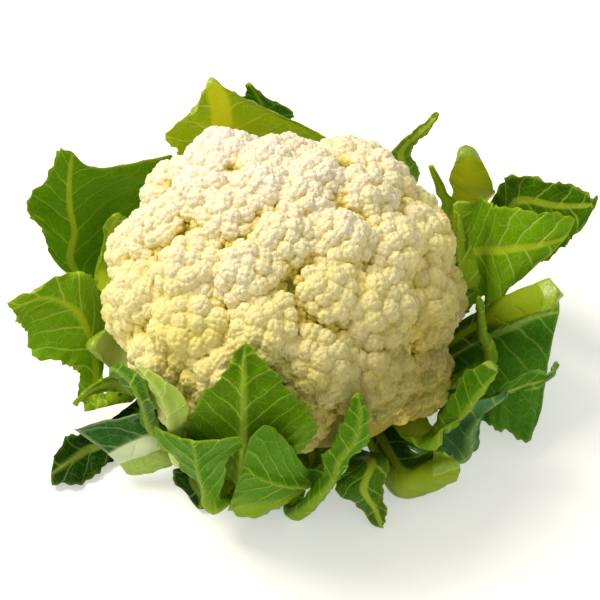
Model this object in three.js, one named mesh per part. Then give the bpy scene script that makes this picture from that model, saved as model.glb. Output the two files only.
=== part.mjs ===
// A trimmed cauliflower: a domed curd of florets on a short cut stalk, inside a
// rosette of wrapper leaves whose ribs grow from the stalk, pass under the curd
// and rise round it. Millimetres, +Z up. The origin is the middle of the stalk's
// cut face, which the head stands on. -Y is the front.
import * as THREE from "three";
import { mergeVertices } from "three/addons/utils/BufferGeometryUtils.js";

// Driving dimensions.
const CURD_RADIUS = 80;
const CURD_DOME = 62.5; // height of the dome over the curd's widest level
const CURD_BELLY = 40; // depth of the curd under that level
const CURD_LEVEL = 78; // height of the widest level over the table
const CURD_FORWARD = -2; // the curd leans a little to the front
const STALK_RADIUS = 27;
const BLADE_THICK = 1;
const RIB_DEPTH = 7; // of a leaf's rib behind its blade, at the stalk
const RIB_HALF_WIDTH = 11; // at the stalk

const { degToRad, lerp } = THREE.MathUtils;

// A repeatable number from 0 to 1 for each whole number.
function draw(n) {
  const wave = Math.sin(n * 12.9898 + 78.233) * 43758.5453;
  return wave - Math.floor(wave);
}

// Directions spread evenly over a cap round +Z, in a golden spiral.
const GOLDEN_ANGLE = Math.PI * (3 - Math.sqrt(5));
function spiral(count, cap) {
  return Array.from({ length: count }, (_, i) => {
    const z = 1 - ((i + 0.5) / count) * (1 - Math.cos(cap));
    const flat = Math.sqrt(1 - z * z);
    const turn = i * GOLDEN_ANGLE;
    return new THREE.Vector3(flat * Math.cos(turn), flat * Math.sin(turn), z);
  });
}

// Curd. Its plain form is half an ellipsoid over a boxier belly.
const BELLY_POWER = 4; // 2 is an ellipse, more is boxier

// It grew unevenly: each of these directions swells (or sinks, below 0) by a share, over a spread.
const SWELLS = [
  { way: new THREE.Vector3(0.1, 0.77, 0.63), by: -0.15, spread: 0.05 },
  { way: new THREE.Vector3(0.99, 0, 0.1), by: -0.03, spread: 0.1 },
  { way: new THREE.Vector3(0.47, -0.74, -0.48), by: 0.13, spread: 0.12 },
  { way: new THREE.Vector3(-0.5, 0.62, 0.6), by: 0.05, spread: 0.06 },
];

// How far the plain curd reaches from its middle in a direction.
function curdReach(direction) {
  const flat = Math.hypot(direction.x, direction.y);
  const up = direction.z > 0;
  const power = up ? 2 : BELLY_POWER;
  const deep = up ? CURD_DOME : CURD_BELLY;
  const sum = (flat / CURD_RADIUS) ** power + Math.abs(direction.z / deep) ** power;
  const uneven = SWELLS.map(({ way, by, spread }) => 1 + by * Math.exp((way.dot(direction) - 1) / spread));
  return sum ** (-1 / power) * uneven.reduce((whole, share) => whole * share, 1);
}

// Florets are domes spread over the curd, smaller towards its top, and each is
// covered by smaller knobs.
const FLORETS = 44;
const FLORET_SIZE = 0.285; // its radius, as a share of the curd's reach there
const FLORET_CAP = degToRad(108); // they end this far from the top
const FLORET_SUNK = 0.65; // of its radius lies under the plain form
const KNOBS = 34;
const KNOB_SIZE = 0.36; // its radius, as a share of its floret's
const KNOB_CAP = degToRad(88);
const KNOB_SUNK = 0.29; // how far it sits under its floret's surface, as a share of the floret's radius
const CREASE_DEPTH = 5; // between florets
const NICK_DEPTH = 2; // between knobs

function curdFlorets() {
  return spiral(FLORETS, FLORET_CAP).map((direction, i) => {
    const sideways = new THREE.Vector3(draw(i + 500) - 0.5, draw(i + 900) - 0.5, draw(i + 1300) - 0.5);
    const aim = direction.clone().addScaledVector(sideways, 0.09).normalize();
    const radius = curdReach(aim) * FLORET_SIZE * (0.92 + 0.16 * draw(i));
    const middle = aim.clone().multiplyScalar(curdReach(aim) - FLORET_SUNK * radius);
    const turned = new THREE.Quaternion().setFromUnitVectors(new THREE.Vector3(0, 0, 1), aim);
    const knobs = spiral(KNOBS, KNOB_CAP).map((way, k) => ({
      middle: way.applyQuaternion(turned).multiplyScalar(radius).add(middle),
      radius: radius * KNOB_SIZE * (0.85 + 0.3 * draw(40 * i + k)),
      sunk: radius * KNOB_SUNK,
    }));
    return { middle, radius, knobs };
  });
}

// The height of the tallest ball over a point, measured along a direction, with each
// ball sunk along it by its own amount.
function overBalls(point, direction, balls, floor) {
  return balls.reduce((height, { middle, radius, sunk = 0 }) => {
    const away = middle.clone().sub(point);
    const along = away.dot(direction);
    const aside = away.lengthSq() - along * along;
    if (aside >= radius * radius) return height;
    return Math.max(height, along + Math.sqrt(radius * radius - aside) - sunk);
  }, floor);
}

const CURD_DETAIL = 18;
function curd() {
  const florets = curdFlorets();
  const ball = new THREE.IcosahedronGeometry(1, CURD_DETAIL);
  ball.deleteAttribute("normal");
  ball.deleteAttribute("uv");
  const shape = mergeVertices(ball, 1e-4);
  const places = shape.getAttribute("position");
  for (let i = 0; i < places.count; i++) {
    const direction = new THREE.Vector3().fromBufferAttribute(places, i).normalize();
    const spot = direction.clone().multiplyScalar(curdReach(direction));
    spot.addScaledVector(direction, overBalls(spot, direction, florets, -CREASE_DEPTH));
    const near = florets.filter(({ middle, radius }) => middle.distanceTo(spot) < 1.5 * radius);
    const knobs = near.flatMap((floret) => floret.knobs);
    spot.addScaledVector(direction, overBalls(spot, direction, knobs, -NICK_DEPTH));
    places.setXYZ(i, spot.x, spot.y, Math.max(spot.z, -CURD_BELLY)); // flat beneath, over the leaves' feet
  }
  return shape.translate(0, CURD_FORWARD, CURD_LEVEL);
}

// Stalk: cut flat below, and ending just under the curd.
const STALK_TOP = 41.2;
const STALK_EDGE = 1.5;
function stalk() {
  const profile = [
    [0, 0],
    [STALK_RADIUS - STALK_EDGE, 0],
    [STALK_RADIUS, STALK_EDGE],
    [STALK_RADIUS, STALK_TOP - STALK_EDGE],
    [STALK_RADIUS - STALK_EDGE, STALK_TOP],
    [0, STALK_TOP],
  ];
  const turned = profile.map(([reach, height]) => new THREE.Vector2(reach, height));
  return new THREE.LatheGeometry(turned, 36).rotateX(Math.PI / 2);
}

// The view that the leaves were read from: a camera above the front.
const VIEW_TILT = degToRad(50);
const VIEW_DISTANCE = 1100;
const VIEW_WIDTH = 293; // width of the frame at the target
const VIEW_PIXELS = 600;
const VIEW_TARGET = new THREE.Vector3(7, 4, 62);
const VIEW_BACK = new THREE.Vector3(0, -Math.cos(VIEW_TILT), Math.sin(VIEW_TILT));
const VIEW_UP = new THREE.Vector3(0, Math.sin(VIEW_TILT), Math.cos(VIEW_TILT));

// Where a spot of the photograph lies, given its height over the table.
function seen([across, down, height]) {
  const eye = VIEW_TARGET.clone().addScaledVector(VIEW_BACK, VIEW_DISTANCE);
  const step = VIEW_WIDTH / VIEW_DISTANCE / VIEW_PIXELS;
  const ray = VIEW_BACK.clone().negate();
  ray.x += (across - VIEW_PIXELS / 2) * step;
  ray.addScaledVector(VIEW_UP, (VIEW_PIXELS / 2 - down) * step);
  return eye.addScaledVector(ray, (height - eye.z) / ray.z);
}

// Leaves grow from the stalk in three whorls, one under another. The first two
// rows of every leaf are its foot: on the stalk's side, and under the curd.
const WHORL_HEIGHTS = [28.6, 18.9, 9.2]; // of a rib's upper face on the stalk
const UNDER_HEIGHTS = [31.5, 21.5, 11.5]; // and where it leaves the curd's underside
const UNDER_REACH = 60;
const STALK_GAP = 0.8;
const STALK_FOOT = 5.2; // half of a foot's width on the stalk
const EDGE_LIFT = 1.5; // how far the edges of a foot curl up

// Each leaf: its whorl, the bearing of its foot, half the foot's width under the
// curd, the rib's depth at the leaf's end (thick where it was cut), the ruffle of
// its edges, and rows of spots up to the tip. A row runs from left to right as
// seen from the stalk. A spot is [across, down] in the photograph, in pixels, and
// its height in millimetres.
const LEAVES = {
  front_upright: {
    whorl: 0, bearing: -103, foot: 10, end: 0.8, ruffle: 1,
    rows: [
      [[275, 476, 39.5], [244, 480, 31], [212, 474, 36]],
      [[316, 430, 92], [245, 447, 72], [187, 428, 74]],
      [[297, 397, 107], [245, 402, 103], [203, 396, 101]],
      [[272, 371, 119], [245, 364, 118], [226, 369, 116]],
      [[249, 345, 126], [245, 343, 126], [242, 345, 126]],
    ],
  },
  front_cup: {
    whorl: 1, bearing: -104, foot: 6, end: 1, ruffle: 0.8,
    rows: [
      [[223, 499, 24], [216, 503, 19], [209, 497, 18]],
      [[224, 480, 50], [208, 486, 38], [194, 480, 28]],
      [[228, 460, 75], [200, 466, 58], [175, 462, 45]],
      [[241, 446, 90], [198, 451, 73], [160, 442, 60]],
      [[240, 437, 97], [194, 441, 81], [152, 428, 67]],
    ],
  },
  front_fold: {
    whorl: 1, bearing: -72, foot: 8, end: 1, ruffle: 0.6,
    rows: [
      [[311, 469, 36], [310, 477, 26], [305, 486, 17]],
      [[299, 458, 66], [293, 482, 38], [286, 504, 16]],
      [[284, 438, 93], [270, 478, 54], [262, 516, 12]],
      [[265, 427, 99], [252, 470, 62], [240, 518, 11]],
      [[250, 438, 91], [240, 474, 56], [228, 510, 12]],
    ],
  },
  front_right: {
    whorl: 2, bearing: -87, foot: 9, end: 0.8, ruffle: 0.8,
    rows: [
      [[302, 511, 3], [296, 510, 4], [289, 506, 5]],
      [[333, 488, 30], [327, 482, 38], [321, 476, 43]],
      [[347, 466, 48], [338, 457, 57], [324, 455, 60]],
      [[366, 444, 66], [354, 438, 73], [338, 434, 77]],
      [[370, 420, 86], [360, 414, 90], [346, 412, 92]],
      [[362, 397, 100], [358, 393, 102], [353, 396, 101]],
    ],
  },
  right_pointed: {
    whorl: 2, bearing: -61, foot: 7, end: 0.8, ruffle: 0.8,
    rows: [
      [[386, 458, 34], [371, 461, 36], [348, 468, 30]],
      [[384, 486, 24], [364, 488, 28], [336, 488, 20]],
      [[384, 510, 10], [375, 509, 14], [358, 506, 10]],
      [[385, 527, 3], [382, 528, 3.5], [378, 526, 3]],
    ],
  },
  right_scoop: {
    whorl: 1, bearing: -45, foot: 9, end: 6, ruffle: 0,
    rows: [
      [[412, 450, 34], [407, 460, 25], [402, 470, 27], [396, 482, 21], [392, 492, 8]],
      [[430, 450, 31], [428, 459, 25], [425, 469, 28], [423, 482, 22], [421, 495, 7]],
      [[444, 451, 35], [450, 457, 30], [458, 461, 30], [460, 470, 25], [456, 480, 14]],
    ],
  },
  right_curled: {
    whorl: 0, bearing: -35, foot: 9, end: 6, ruffle: 0.8,
    rows: [
      [[440, 432, 42], [427, 436, 41], [414, 439, 40]],
      [[462, 416, 42], [452, 412, 46], [445, 408, 52]],
      [[486, 388, 54], [472, 386, 62], [460, 378, 70]],
      [[499, 368, 72], [491, 361, 80], [482, 364, 84]],
    ],
  },
  right_long: {
    whorl: 2, bearing: -35, foot: 8, end: 0.8, ruffle: 0.8,
    rows: [
      [[470, 452, 12], [460, 454, 10], [432, 450, 13]],
      [[482, 420, 32], [474, 425, 28], [438, 425, 22]],
      [[500, 388, 50], [489, 402, 42], [474, 404, 46]],
      [[528, 372, 62], [520, 387, 52], [512, 391, 48]],
      [[549, 371, 68], [546, 379, 62], [540, 387, 58]],
      [[558, 363, 73], [557, 364, 72], [556, 366, 71]],
    ],
  },
  right_spike: {
    whorl: 1, bearing: -19, foot: 6, end: 0.8, ruffle: 0.4,
    rows: [
      [[492, 366, 46], [485, 368, 44], [478, 360, 44]],
      [[488, 330, 66], [483, 330, 66], [477, 330, 64]],
      [[482, 300, 86], [479, 296, 88], [476, 298, 86]],
    ],
  },
  right_petiole: {
    whorl: 0, bearing: -13, foot: 7, end: 6, ruffle: 0,
    rows: [
      [[470, 316, 50], [473, 328, 49], [476, 342, 46]],
      [[503, 297, 66], [507, 309, 66], [511, 322, 62]],
      [[550, 278, 80], [558, 291, 81], [553, 309, 75]],
    ],
  },
  right_broad: {
    whorl: 2, bearing: -9, foot: 11, end: 1, ruffle: 1.2,
    rows: [
      [[472, 318, 36], [471, 330, 36], [471, 345, 35], [472, 375, 30], [476, 418, 16]],
      [[500, 306, 48], [501, 318, 47], [502, 332, 45], [500, 378, 33], [500, 430, 12]],
      [[530, 290, 57], [533, 302, 56], [534, 318, 53], [528, 378, 36], [526, 440, 8]],
      [[552, 284, 60], [557, 295, 60], [559, 312, 57], [550, 352, 44], [541, 415, 18]],
    ],
  },
  right_folded: {
    whorl: 1, bearing: 8, foot: 9, end: 0.8, ruffle: 1.2,
    rows: [
      [[470, 208, 62], [465, 260, 42], [480, 300, 34]],
      [[500, 208, 84], [505, 250, 68], [490, 308, 46]],
      [[545, 211, 88], [540, 245, 76], [515, 285, 57]],
      [[576, 220, 84], [566, 238, 78], [545, 260, 70]],
    ],
  },
  right_rear: {
    whorl: 2, bearing: 18, foot: 9, end: 0.8, ruffle: 1.5,
    rows: [
      [[493, 198, 57], [500, 222, 50], [506, 262, 38]],
      [[509, 177, 84], [520, 200, 74], [532, 262, 50]],
      [[556, 181, 92], [556, 205, 82], [562, 250, 64]],
      [[585, 193, 94], [588, 205, 88], [580, 228, 78]],
      [[594, 196, 96], [597, 198, 94], [595, 206, 90]],
    ],
  },
  right_upper_stub: {
    whorl: 1, bearing: 40, foot: 10, end: 6, ruffle: 0,
    rows: [
      [[446, 205, 60], [464, 212, 54], [484, 205, 50]],
      [[449, 178, 80], [468, 182, 75], [493, 187, 71]],
      [[456, 160, 92], [468, 154, 94], [483, 162, 89]],
    ],
  },
  right_inner_stub: {
    whorl: 0, bearing: 10, foot: 8, end: 5, ruffle: 0,
    rows: [
      [[475, 290, 50], [464, 300, 45], [456, 310, 42]],
      [[470, 240, 66], [460, 252, 58], [455, 275, 52]],
      [[472, 202, 82], [461, 200, 80], [453, 204, 78]],
    ],
  },
  right_strip: {
    whorl: 0, bearing: 36, foot: 5, end: 0.8, ruffle: 0,
    rows: [
      [[437, 215, 62], [443, 216, 60], [450, 212, 58]],
      [[436, 190, 75], [441, 190, 73], [447, 192, 72]],
      [[430, 167, 87], [431, 166, 87], [434, 168, 86]],
    ],
  },
  rear_thin: {
    whorl: 1, bearing: 66, foot: 7, end: 0.8, ruffle: 0.4,
    rows: [
      [[388, 190, 54], [400, 190, 54], [415, 185, 54]],
      [[391, 153, 82], [401, 152, 82], [411, 151, 82]],
      [[415, 130, 102], [420, 132, 102], [424, 137, 101]],
      [[436, 115, 116], [437, 114, 116], [438, 115, 116]],
    ],
  },
  rear_dark: {
    whorl: 1, bearing: 95, foot: 8, end: 0.8, ruffle: 1.2,
    rows: [
      [[225, 172, 46], [245, 172, 44], [275, 170, 44]],
      [[235, 120, 80], [258, 120, 78], [290, 124, 72]],
      [[240, 100, 96], [262, 104, 92], [292, 114, 82]],
      [[246, 86, 106], [250, 85, 106], [262, 95, 100]],
    ],
  },
  rear_cut: {
    whorl: 0, bearing: 112, foot: 11, end: 5, ruffle: 0.8,
    rows: [
      [[185, 185, 55], [203, 178, 56], [225, 172, 56], [250, 172, 53], [285, 172, 50]],
      [[176, 150, 84], [196, 140, 88], [222, 130, 92], [248, 130, 88], [300, 142, 74]],
      [[167, 134, 98], [194, 118, 104], [220, 107, 106], [245, 105, 104], [330, 138, 76]],
      [[196, 110, 112], [203, 93, 116], [213, 82, 120], [227, 89, 115], [246, 103, 106]],
    ],
  },
  left_tall: {
    whorl: 1, bearing: 161, foot: 11, end: 1, ruffle: 1.5,
    rows: [
      [[64, 270, 42], [70, 272, 40], [78, 274, 38], [95, 272, 34], [110, 265, 34]],
      [[40, 228, 66], [58, 232, 60], [74, 230, 58], [102, 232, 48], [134, 235, 42]],
      [[27, 204, 84], [50, 200, 78], [69, 205, 74], [102, 205, 62], [150, 208, 50]],
      [[52, 168, 100], [60, 172, 96], [69, 176, 92], [106, 182, 78], [176, 184, 60]],
      [[60, 146, 110], [64, 150, 108], [72, 152, 104], [98, 168, 90], [172, 155, 80]],
    ],
  },
  left_curl: {
    whorl: 0, bearing: 175, foot: 6, end: 0.8, ruffle: 0.4,
    rows: [
      [[99, 290, 38], [105, 285, 40], [111, 280, 42]],
      [[101, 258, 52], [107, 250, 54], [115, 245, 54]],
      [[104, 228, 68], [112, 226, 66], [122, 228, 62]],
      [[110, 217, 76], [119, 215, 76], [129, 219, 70]],
    ],
  },
  left_pale_stub: {
    whorl: 0, bearing: -160, foot: 7, end: 5, ruffle: 0,
    rows: [
      [[116, 372, 32], [119, 360, 34], [124, 346, 36]],
      [[98, 354, 47], [95, 344, 51], [108, 326, 52]],
    ],
  },
  left_broad: {
    whorl: 1, bearing: -174, foot: 9, end: 0.8, ruffle: 1.5,
    rows: [
      [[84, 400, 26], [90, 405, 24], [97, 408, 22], [103, 405, 24], [108, 400, 26]],
      [[79, 372, 36], [86, 370, 35], [96, 368, 33], [102, 362, 32], [105, 354, 33]],
      [[60, 364, 42], [74, 345, 46], [88, 334, 48], [98, 315, 50], [101, 300, 54]],
      [[32, 352, 46], [50, 332, 54], [74, 310, 60], [82, 292, 66], [92, 278, 70]],
      [[24, 328, 56], [30, 315, 62], [44, 298, 68], [50, 285, 74], [60, 275, 78]],
      [[16, 318, 64], [14, 313, 66], [12, 309, 68], [9, 307, 70], [8, 305, 72]],
    ],
  },
  left_strip: {
    whorl: 1, bearing: -151, foot: 6, end: 0.8, ruffle: 0.4,
    rows: [
      [[128, 394, 28], [128, 388, 31], [128, 382, 34]],
      [[110, 391, 34], [110, 384, 38], [111, 377, 42]],
      [[88, 397, 40], [90, 391, 42], [92, 386, 44]],
      [[76, 406, 42], [75, 405, 43], [74, 403, 44]],
    ],
  },
  left_pale_point: {
    whorl: 0, bearing: -126, foot: 7, end: 0.8, ruffle: 0.4,
    rows: [
      [[190, 455, 42], [181, 457, 39], [174, 453, 38]],
      [[185, 425, 77], [175, 427, 71], [168, 426, 63]],
      [[188, 405, 94], [168, 400, 88], [153, 396, 81]],
      [[166, 382, 101], [155, 382, 96], [147, 380, 90]],
      [[144, 367, 99], [139, 366, 98], [134, 366, 96]],
    ],
  },
  left_twisted: {
    whorl: 1, bearing: -127, foot: 7, end: 0.8, ruffle: 0.6,
    rows: [
      [[165, 428, 35], [156, 428, 34], [148, 428, 33]],
      [[153, 403, 77], [145, 399, 75], [137, 401, 69]],
      [[142, 378, 88], [130, 378, 83], [122, 385, 73]],
      [[118, 362, 80], [112, 368, 76], [110, 375, 72]],
    ],
  },
  left_low_cut: {
    whorl: 2, bearing: -141, foot: 10, end: 7, ruffle: 0.4,
    rows: [
      [[172, 464, 8], [164, 450, 20], [154, 437, 25], [148, 426, 28], [144, 412, 36]],
      [[150, 472, 6], [142, 458, 18], [130, 446, 23], [122, 434, 26], [114, 419, 35]],
      [[127, 474, 5], [120, 464, 13], [110, 456, 19], [98, 446, 22], [74, 429, 34]],
    ],
  },
  left_low_dark: {
    whorl: 2, bearing: -166, foot: 8, end: 0.8, ruffle: 1,
    rows: [
      [[112, 462, 3], [108, 440, 8], [104, 425, 12]],
      [[96, 474, 3], [86, 450, 8], [82, 430, 16]],
      [[75, 484, 3], [68, 462, 8], [66, 440, 16]],
      [[52, 488, 2], [51, 474, 5], [55, 456, 10]],
    ],
  },
  front_low_dark: {
    whorl: 2, bearing: -113, foot: 8, end: 0.8, ruffle: 0.8,
    rows: [
      [[214, 486, 8], [194, 478, 12], [176, 470, 16]],
      [[214, 498, 4], [203, 500, 6], [182, 488, 8]],
      [[207, 507, 2.5], [200, 509, 2.5], [194, 505, 3]],
    ],
  },
};

// A smooth curve through evenly numbered points, which goes on straight at its ends.
function through(points, where) {
  const i = Math.min(Math.floor(where), points.length - 2);
  const u = where - i;
  const beyond = (end, next) => end.clone().multiplyScalar(2).sub(next);
  const before = points[i - 1] ?? beyond(points[i], points[i + 1]);
  const after = points[i + 2] ?? beyond(points[i + 1], points[i]);
  return new THREE.Vector3()
    .addScaledVector(before, (((2 - u) * u - 1) * u) / 2)
    .addScaledVector(points[i], ((3 * u - 5) * u * u + 2) / 2)
    .addScaledVector(points[i + 1], (((4 - 3 * u) * u + 1) * u) / 2)
    .addScaledVector(after, ((u - 1) * u * u) / 2);
}

// The foot's two rows, of as many spots as the leaf's other rows.
function footRows({ whorl, bearing, foot }, columns) {
  const turn = degToRad(bearing);
  const out = new THREE.Vector3(Math.cos(turn), Math.sin(turn), 0);
  const side = new THREE.Vector3(out.y, -out.x, 0);
  const row = (half, reachAt, height, lift) =>
    Array.from({ length: columns }, (_, k) => {
      const across = (2 * k) / (columns - 1) - 1;
      const spot = side.clone().multiplyScalar(across * half);
      return spot.addScaledVector(out, reachAt(across * half)).setZ(height + lift * across * across);
    });
  const onStalk = (aside) => Math.sqrt((STALK_RADIUS + STALK_GAP) ** 2 - aside * aside);
  return [
    row(STALK_FOOT, onStalk, WHORL_HEIGHTS[whorl], 0),
    row(foot, () => UNDER_REACH, UNDER_HEIGHTS[whorl], EDGE_LIFT),
  ];
}

const STEPS_PER_ROW = 2;
const BROAD_FOOT = 7; // a leaf with a wider foot than this gets the broad columns
const BROAD_COLUMNS = [-1, -0.55, -0.18, 0, 0.18, 0.55, 1];
const SLIM_COLUMNS = [-1, -0.45, 0, 0.45, 1];
const RUFFLE_LENGTH = 22; // from crest to crest along an edge
const SLOPE_STEP = 0.02;

// A leaf's two faces: the one toward the curd, and the one with the rib.
function leafFaces(spec, steps, columns) {
  const rows = spec.rows.map((row) => row.map(seen));
  const net = [...footRows(spec, rows[0].length), ...rows];
  const place = (s, t) => {
    const across = net.map((row) => through(row, ((t + 1) / 2) * (row.length - 1)));
    return through(across, s * (net.length - 1));
  };
  const inner = [];
  const outer = [];
  let run = 0;
  for (let i = 0; i <= steps; i++) {
    const s = i / steps;
    const middle = place(s, 0);
    run += i ? middle.distanceTo(place((i - 1) / steps, 0)) : 0;
    const half = (place(s, -1).distanceTo(middle) + place(s, 1).distanceTo(middle)) / 2;
    const ribHalf = lerp(RIB_HALF_WIDTH, 1.5 + spec.end, s ** 0.5);
    const ribDepth = lerp(RIB_DEPTH, spec.end, s ** 0.7);
    for (const t of columns) {
      const along = place(Math.min(s + SLOPE_STEP, 1), t).sub(place(Math.max(s - SLOPE_STEP, 0), t));
      const aside = place(s, Math.min(t + SLOPE_STEP, 1)).sub(place(s, Math.max(t - SLOPE_STEP, -1)));
      const facing = aside.cross(along).normalize();
      const crest = Math.sin((2 * Math.PI * run) / RUFFLE_LENGTH + 2 * t);
      const ruffle = spec.ruffle * Math.abs(t) ** 3 * Math.min(1, 2 * s) ** 2 * crest;
      const spot = place(s, t).addScaledVector(facing, ruffle);
      const off = Math.min(1, (Math.abs(t) * half) / ribHalf);
      inner.push(spot);
      outer.push(spot.clone().addScaledVector(facing, -BLADE_THICK - ribDepth * (1 - off * off)));
    }
  }
  return { inner, outer };
}

function leaf(spec) {
  const columns = spec.foot > BROAD_FOOT ? BROAD_COLUMNS : SLIM_COLUMNS;
  const steps = (spec.rows.length + 1) * STEPS_PER_ROW;
  const { inner, outer } = leafFaces(spec, steps, columns);
  const wide = columns.length;
  const count = inner.length;
  const faces = [];
  const quad = (a, b, c, d) => faces.push(a, b, c, a, c, d);
  for (let i = 0; i < steps; i++) {
    for (let k = 0; k < wide - 1; k++) {
      const a = i * wide + k;
      quad(a, a + 1, a + wide + 1, a + wide);
      quad(count + a + wide + 1, count + a + 1, count + a, count + a + wide);
    }
  }
  const rim = [];
  for (let k = 0; k < wide - 1; k++) rim.push(k);
  for (let i = 0; i < steps; i++) rim.push(i * wide + wide - 1);
  for (let k = wide - 1; k > 0; k--) rim.push(steps * wide + k);
  for (let i = steps; i > 0; i--) rim.push(i * wide);
  rim.forEach((a, n) => {
    const b = rim[(n + 1) % rim.length];
    quad(b, a, count + a, count + b);
  });
  const shape = new THREE.BufferGeometry();
  const places = [...inner, ...outer].flatMap((spot) => spot.toArray());
  shape.setAttribute("position", new THREE.Float32BufferAttribute(places, 3));
  return shape.setIndex(faces);
}

const head = new THREE.Group();
function add(name, geometry, color) {
  const material = new THREE.MeshStandardMaterial({ color, roughness: 0.6, metalness: 0 });
  const mesh = new THREE.Mesh(geometry, material);
  mesh.name = name;
  head.add(mesh);
}
add("curd", curd(), 0xf1e6b8);
add("stalk", stalk(), 0xdfe3b0);
for (const [name, spec] of Object.entries(LEAVES)) add("leaf_" + name, leaf(spec), 0x4e8a22);
export default head;
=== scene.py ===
"""The looks of a trimmed cauliflower: a cream curd on its cut stalk, in torn green leaves."""
import math

import bmesh
import bpy
import numpy as np
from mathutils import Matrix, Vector
from mathutils.kdtree import KDTree


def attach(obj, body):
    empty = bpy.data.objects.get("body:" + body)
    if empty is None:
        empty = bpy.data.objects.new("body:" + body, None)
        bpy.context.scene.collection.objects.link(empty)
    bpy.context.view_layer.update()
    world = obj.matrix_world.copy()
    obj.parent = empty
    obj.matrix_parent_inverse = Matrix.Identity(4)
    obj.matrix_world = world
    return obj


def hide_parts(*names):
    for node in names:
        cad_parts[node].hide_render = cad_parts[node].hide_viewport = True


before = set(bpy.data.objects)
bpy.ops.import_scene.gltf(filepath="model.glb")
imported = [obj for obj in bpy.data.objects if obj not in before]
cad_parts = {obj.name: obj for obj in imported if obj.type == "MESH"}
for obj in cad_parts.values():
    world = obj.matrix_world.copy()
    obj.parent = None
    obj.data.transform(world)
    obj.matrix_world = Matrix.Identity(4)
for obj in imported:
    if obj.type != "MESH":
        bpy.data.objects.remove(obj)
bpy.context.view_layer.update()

# Stalk. The short stump that the curd and every leaf grow from, trimmed flat with a
# knife. It is solid, moist plant tissue, pale green to nearly white. It keeps its CAD
# shape and only gets its finish here. All sizes are in millimetres unless a name or a
# comment says metres.
STALK_RADIUS = 27.0


def linear(code):
    """An sRGB hex colour as linear red, green, blue and alpha."""
    parts = [int(code[i : i + 2], 16) / 255 for i in (1, 3, 5)]
    return [c / 12.92 if c <= 0.04045 else ((c + 0.055) / 1.055) ** 2.4 for c in parts] + [1.0]


def node(tree, kind, inputs, **settings):
    """Add a shader node, set its settings, and link or fill its inputs."""
    new = tree.nodes.new("ShaderNode" + kind)
    for name, value in settings.items():
        setattr(new, name, value)
    for name, value in inputs.items():
        if isinstance(value, bpy.types.NodeSocket):
            tree.links.new(value, new.inputs[name])
        else:
            new.inputs[name].default_value = value
    return new


def math_node(tree, operation, first, second=0.0):
    """One sum on values of the shader."""
    return node(tree, "Math", {0: first, 1: second}, operation=operation).outputs[0]


def plus(tree, first, second):
    return math_node(tree, "ADD", first, second)


def minus(tree, first, second):
    return math_node(tree, "SUBTRACT", first, second)


def times(tree, first, second):
    return math_node(tree, "MULTIPLY", first, second)


def ramp(tree, value, low, high, to_low=0.0, to_high=1.0):
    """Where a value lies from low to high, held at both ends and put on a new range."""
    ends = {"From Min": low, "From Max": high, "To Min": to_low, "To Max": to_high}
    return node(tree, "MapRange", {"Value": value, **ends}).outputs[0]


def mix_colour(tree, factor, first, second):
    """The first colour, turning into the second as the factor goes from 0 to 1."""
    made = node(tree, "Mix", {"Factor": factor, 6: first, 7: second}, data_type="RGBA")
    return made.outputs[2]


def clouds(tree, where, size, detail=4.0):
    """Soft noise from 0 to 1 whose patches have a size."""
    inputs = {"Vector": where, "Scale": 1000 / size, "Detail": detail}
    return node(tree, "TexNoise", inputs).outputs[0]


def add_bump(tree, surface, height, strength, depth_metres):
    """Shade a surface as if a height made it uneven."""
    relief = node(tree, "Bump", {"Height": height, "Strength": strength, "Distance": depth_metres})
    tree.links.new(relief.outputs[0], surface.inputs["Normal"])


def set_inputs(shader, values):
    """Set constants on a shader's own inputs."""
    for label, value in values.items():
        shader.inputs[label].default_value = value


def new_material(name):
    """A material with an empty tree but for its surface shader and its output."""
    material = bpy.data.materials.new(name)
    material.use_nodes = True
    tree = material.node_tree
    tree.nodes.clear()
    surface = tree.nodes.new("ShaderNodeBsdfPrincipled")
    output = tree.nodes.new("ShaderNodeOutputMaterial")
    tree.links.new(surface.outputs[0], output.inputs["Surface"])
    return material, tree, surface


def cut_tissue(name, pale, green):
    """Knife-cut stump or rib: wet, pale flesh with greener bundles of fibre in it."""
    fibre_size = 1.6
    fibre_share = 0.7
    cloud_size = 9.0
    cloud_share = 0.5
    material, tree, surface = new_material(name)
    where = node(tree, "TexCoord", {}).outputs["Object"]
    cells = node(tree, "TexVoronoi", {"Vector": where, "Scale": 1000 / fibre_size})
    fibres = cells.outputs["Distance"]
    cloudy = times(tree, clouds(tree, where, cloud_size), cloud_share)
    shade = plus(tree, times(tree, fibres, fibre_share), cloudy)
    tint = mix_colour(tree, shade, linear(pale), linear(green))
    tree.links.new(tint, surface.inputs["Base Color"])
    add_bump(tree, surface, fibres, 0.35, 0.0003)
    set_inputs(surface, {
        "Roughness": 0.32,
        "Subsurface Weight": 0.25,
        "Subsurface Radius": (0.004, 0.004, 0.0015),
    })
    return material


stalk_flesh = cut_tissue("stalk_flesh", "#eef0c9", "#bccb78")
stalk = bpy.data.objects["stalk"]
stalk.data.materials.clear()
stalk.data.materials.append(stalk_flesh)

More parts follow.
